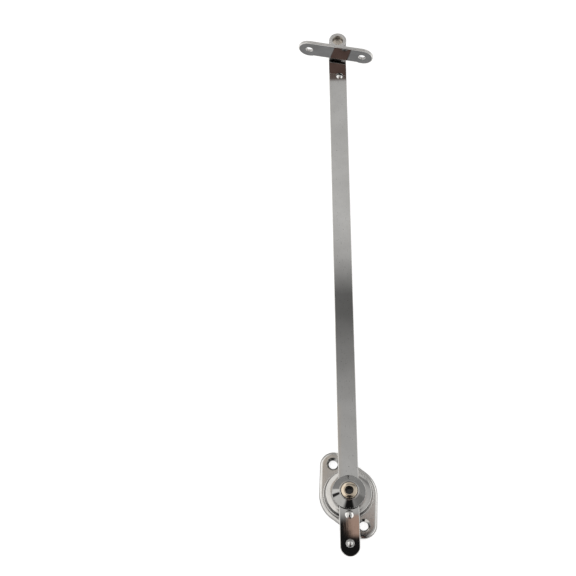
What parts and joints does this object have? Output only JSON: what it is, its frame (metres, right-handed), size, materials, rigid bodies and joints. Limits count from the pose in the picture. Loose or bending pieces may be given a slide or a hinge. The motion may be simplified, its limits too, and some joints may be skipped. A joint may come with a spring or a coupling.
{
  "type": "adjustable friction stay",
  "caption": "Flat-bar friction stay: the bar slides through a brake drum that swivels on a lozenge base plate, and a small bracket plate swivels at its end.",
  "frame": {"origin": "on the drum's swivel axis, at the back (mounting) face of the base plate", "axes": "+Z out of the base plate, +Y along the bar towards the bracket, +X across the bar"},
  "size_m": [0.0517, 0.3591, 0.0249],
  "materials": {
    "nickel_bar": "nickel plate over brushed flat steel bar",
    "plated_casting": "polished nickel plate on die castings",
    "satin_plate": "satin nickel plate",
    "brass": "machined, lightly tarnished",
    "spring_steel": "oiled spring steel",
    "nylon": "natural nylon",
    "stud_steel": "bronzed steel"
  },
  "bodies": {
    "base": {"base_plate": "plated_casting", "base_bush": "brass", "glide_washer": "nylon", "rear_washer": "spring_steel"},
    "drum": {"brake_drum": "plated_casting", "pivot_post": "spring_steel", "wave_washer": "spring_steel", "lower_shoe": "nylon", "brake_cap": "plated_casting", "cap_pins": "spring_steel", "threaded_bush": "plated_casting"},
    "pad": {"upper_shoe": "nylon", "thrust_disc": "spring_steel", "disc_springs": "spring_steel"},
    "screw": {"adjusting_screw": "brass"},
    "bar": {"stay_bar": "nickel_bar", "head_rivet": "plated_casting", "check_rivet": "plated_casting", "tail_rivet": "plated_casting", "pivot_stud": "stud_steel", "stud_washer": "spring_steel", "thrust_washer": "spring_steel", "stud_wave_washer": "spring_steel"},
    "bracket": {"bracket_plate": "satin_plate", "knuckle_bush": "brass"}
  },
  "joints": [
    {"name": "drum_swivel", "type": "hinge", "parent": "base", "child": "drum", "pos_m": [0, 0, 0.003], "axis": [0, 0, 1], "continuous": true},
    {"name": "bar_slide", "type": "slide", "parent": "drum", "child": "bar", "axis": [0, 1, 0], "range_m": [-0.277, 0.017]},
    {"name": "bracket_swivel", "type": "hinge", "parent": "bar", "child": "bracket", "pos_m": [0, 0.315, 0.015], "axis": [0, 0, 1], "range_deg": [-69.5, 90.5]},
    {"name": "pad_lift", "type": "slide", "parent": "drum", "child": "pad", "axis": [0, 0, 1], "range_m": [0, 0.00075]},
    {"name": "screw_turn", "type": "hinge", "parent": "pad", "child": "screw", "pos_m": [0, 0, 0.012], "axis": [0, 0, 1], "range_deg": [0, 360]}
  ],
  "couplings": [
    {"joint": "screw_turn", "follows": "pad_lift", "rad_per_m": 8377.5}
  ]
}
